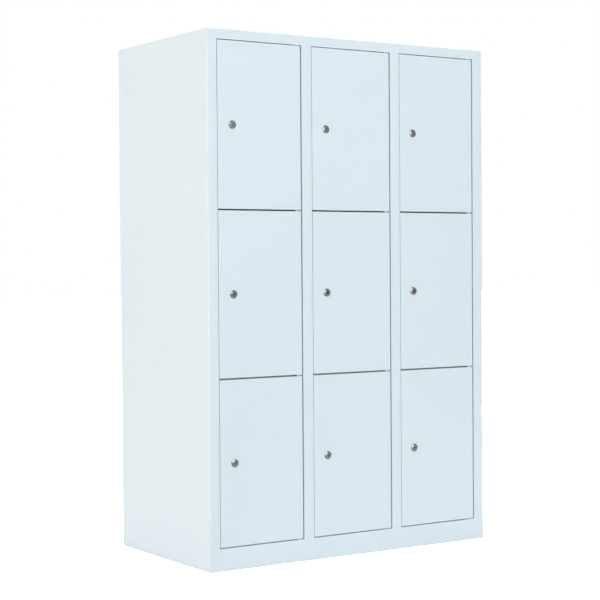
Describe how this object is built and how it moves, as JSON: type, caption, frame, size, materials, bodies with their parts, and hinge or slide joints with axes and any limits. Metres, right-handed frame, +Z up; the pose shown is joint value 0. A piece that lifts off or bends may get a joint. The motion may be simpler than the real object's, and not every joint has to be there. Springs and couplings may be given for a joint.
{
  "type": "compartment locker",
  "caption": "Tall sheet-steel locker with columns of flush pivot-hung doors, each with a cam lock and a compartment of its own, over a plinth.",
  "frame": {"origin": "middle of the footprint, on the floor", "axes": "+X to the right along the front, +Y from the front into the depth, +Z up"},
  "size_m": [1.166, 0.6436, 1.8],
  "materials": {
    "carcass_paint": "satin powder coat",
    "door_paint": "satin powder coat",
    "lock_nickel": "polished nickel plate",
    "cam_steel": "zinc-plated steel",
    "hinge_steel": "zinc-plated steel",
    "hinge_nylon": "white nylon",
    "buffer_rubber": "grey rubber"
  },
  "bodies": {
    "carcass": {"left_side": "carcass_paint", "right_side": "carcass_paint", "top_panel": "carcass_paint", "plinth": "carcass_paint", "floor_panel": "carcass_paint", "rear_panel": "carcass_paint", "partition_left": "carcass_paint", "partition_centre": "carcass_paint", "shelves_left": "carcass_paint", "shelves_centre": "carcass_paint", "shelves_right": "carcass_paint", "hinge_plates": "carcass_paint", "hinge_pins": "hinge_steel", "hinge_bushes": "hinge_nylon", "door_buffers": "buffer_rubber"},
    "door_top_left": {"door_top_left": "door_paint", "stiffener_top_left": "door_paint", "lock_top_left": "lock_nickel"},
    "core_top_left": {"plug_top_left": "lock_nickel", "cam_top_left": "cam_steel"},
    "door_middle_left": {"door_middle_left": "door_paint", "stiffener_middle_left": "door_paint", "lock_middle_left": "lock_nickel"},
    "core_middle_left": {"plug_middle_left": "lock_nickel", "cam_middle_left": "cam_steel"},
    "door_bottom_left": {"door_bottom_left": "door_paint", "stiffener_bottom_left": "door_paint", "lock_bottom_left": "lock_nickel"},
    "core_bottom_left": {"plug_bottom_left": "lock_nickel", "cam_bottom_left": "cam_steel"},
    "door_top_centre": {"door_top_centre": "door_paint", "stiffener_top_centre": "door_paint", "lock_top_centre": "lock_nickel"},
    "core_top_centre": {"plug_top_centre": "lock_nickel", "cam_top_centre": "cam_steel"},
    "door_middle_centre": {"door_middle_centre": "door_paint", "stiffener_middle_centre": "door_paint", "lock_middle_centre": "lock_nickel"},
    "core_middle_centre": {"plug_middle_centre": "lock_nickel", "cam_middle_centre": "cam_steel"},
    "door_bottom_centre": {"door_bottom_centre": "door_paint", "stiffener_bottom_centre": "door_paint", "lock_bottom_centre": "lock_nickel"},
    "core_bottom_centre": {"plug_bottom_centre": "lock_nickel", "cam_bottom_centre": "cam_steel"},
    "door_top_right": {"door_top_right": "door_paint", "stiffener_top_right": "door_paint", "lock_top_right": "lock_nickel"},
    "core_top_right": {"plug_top_right": "lock_nickel", "cam_top_right": "cam_steel"},
    "door_middle_right": {"door_middle_right": "door_paint", "stiffener_middle_right": "door_paint", "lock_middle_right": "lock_nickel"},
    "core_middle_right": {"plug_middle_right": "lock_nickel", "cam_middle_right": "cam_steel"},
    "door_bottom_right": {"door_bottom_right": "door_paint", "stiffener_bottom_right": "door_paint", "lock_bottom_right": "lock_nickel"},
    "core_bottom_right": {"plug_bottom_right": "lock_nickel", "cam_bottom_right": "cam_steel"}
  },
  "joints": [
    {"name": "hinge_top_left", "type": "hinge", "parent": "carcass", "child": "door_top_left", "pos_m": [-0.229, -0.311, 1.48633], "axis": [0, 0, 1], "range_deg": [0, 110]},
    {"name": "lock_turn_top_left", "type": "hinge", "parent": "door_top_left", "child": "core_top_left", "pos_m": [-0.487, -0.2976, 1.48633], "axis": [0, 1, 0], "range_deg": [0, 90]},
    {"name": "hinge_middle_left", "type": "hinge", "parent": "carcass", "child": "door_middle_left", "pos_m": [-0.229, -0.311, 0.9228], "axis": [0, 0, 1], "range_deg": [0, 110]},
    {"name": "lock_turn_middle_left", "type": "hinge", "parent": "door_middle_left", "child": "core_middle_left", "pos_m": [-0.487, -0.2976, 0.9228], "axis": [0, 1, 0], "range_deg": [0, 90]},
    {"name": "hinge_bottom_left", "type": "hinge", "parent": "carcass", "child": "door_bottom_left", "pos_m": [-0.229, -0.311, 0.35927], "axis": [0, 0, 1], "range_deg": [0, 110]},
    {"name": "lock_turn_bottom_left", "type": "hinge", "parent": "door_bottom_left", "child": "core_bottom_left", "pos_m": [-0.487, -0.2976, 0.35927], "axis": [0, 1, 0], "range_deg": [0, 90]},
    {"name": "hinge_top_centre", "type": "hinge", "parent": "carcass", "child": "door_top_centre", "pos_m": [0.146, -0.311, 1.48633], "axis": [0, 0, 1], "range_deg": [0, 110]},
    {"name": "lock_turn_top_centre", "type": "hinge", "parent": "door_top_centre", "child": "core_top_centre", "pos_m": [-0.112, -0.2976, 1.48633], "axis": [0, 1, 0], "range_deg": [0, 90]},
    {"name": "hinge_middle_centre", "type": "hinge", "parent": "carcass", "child": "door_middle_centre", "pos_m": [0.146, -0.311, 0.9228], "axis": [0, 0, 1], "range_deg": [0, 110]},
    {"name": "lock_turn_middle_centre", "type": "hinge", "parent": "door_middle_centre", "child": "core_middle_centre", "pos_m": [-0.112, -0.2976, 0.9228], "axis": [0, 1, 0], "range_deg": [0, 90]},
    {"name": "hinge_bottom_centre", "type": "hinge", "parent": "carcass", "child": "door_bottom_centre", "pos_m": [0.146, -0.311, 0.35927], "axis": [0, 0, 1], "range_deg": [0, 110]},
    {"name": "lock_turn_bottom_centre", "type": "hinge", "parent": "door_bottom_centre", "child": "core_bottom_centre", "pos_m": [-0.112, -0.2976, 0.35927], "axis": [0, 1, 0], "range_deg": [0, 90]},
    {"name": "hinge_top_right", "type": "hinge", "parent": "carcass", "child": "door_top_right", "pos_m": [0.521, -0.311, 1.48633], "axis": [0, 0, 1], "range_deg": [0, 110]},
    {"name": "lock_turn_top_right", "type": "hinge", "parent": "door_top_right", "child": "core_top_right", "pos_m": [0.263, -0.2976, 1.48633], "axis": [0, 1, 0], "range_deg": [0, 90]},
    {"name": "hinge_middle_right", "type": "hinge", "parent": "carcass", "child": "door_middle_right", "pos_m": [0.521, -0.311, 0.9228], "axis": [0, 0, 1], "range_deg": [0, 110]},
    {"name": "lock_turn_middle_right", "type": "hinge", "parent": "door_middle_right", "child": "core_middle_right", "pos_m": [0.263, -0.2976, 0.9228], "axis": [0, 1, 0], "range_deg": [0, 90]},
    {"name": "hinge_bottom_right", "type": "hinge", "parent": "carcass", "child": "door_bottom_right", "pos_m": [0.521, -0.311, 0.35927], "axis": [0, 0, 1], "range_deg": [0, 110]},
    {"name": "lock_turn_bottom_right", "type": "hinge", "parent": "door_bottom_right", "child": "core_bottom_right", "pos_m": [0.263, -0.2976, 0.35927], "axis": [0, 1, 0], "range_deg": [0, 90]}
  ]
}
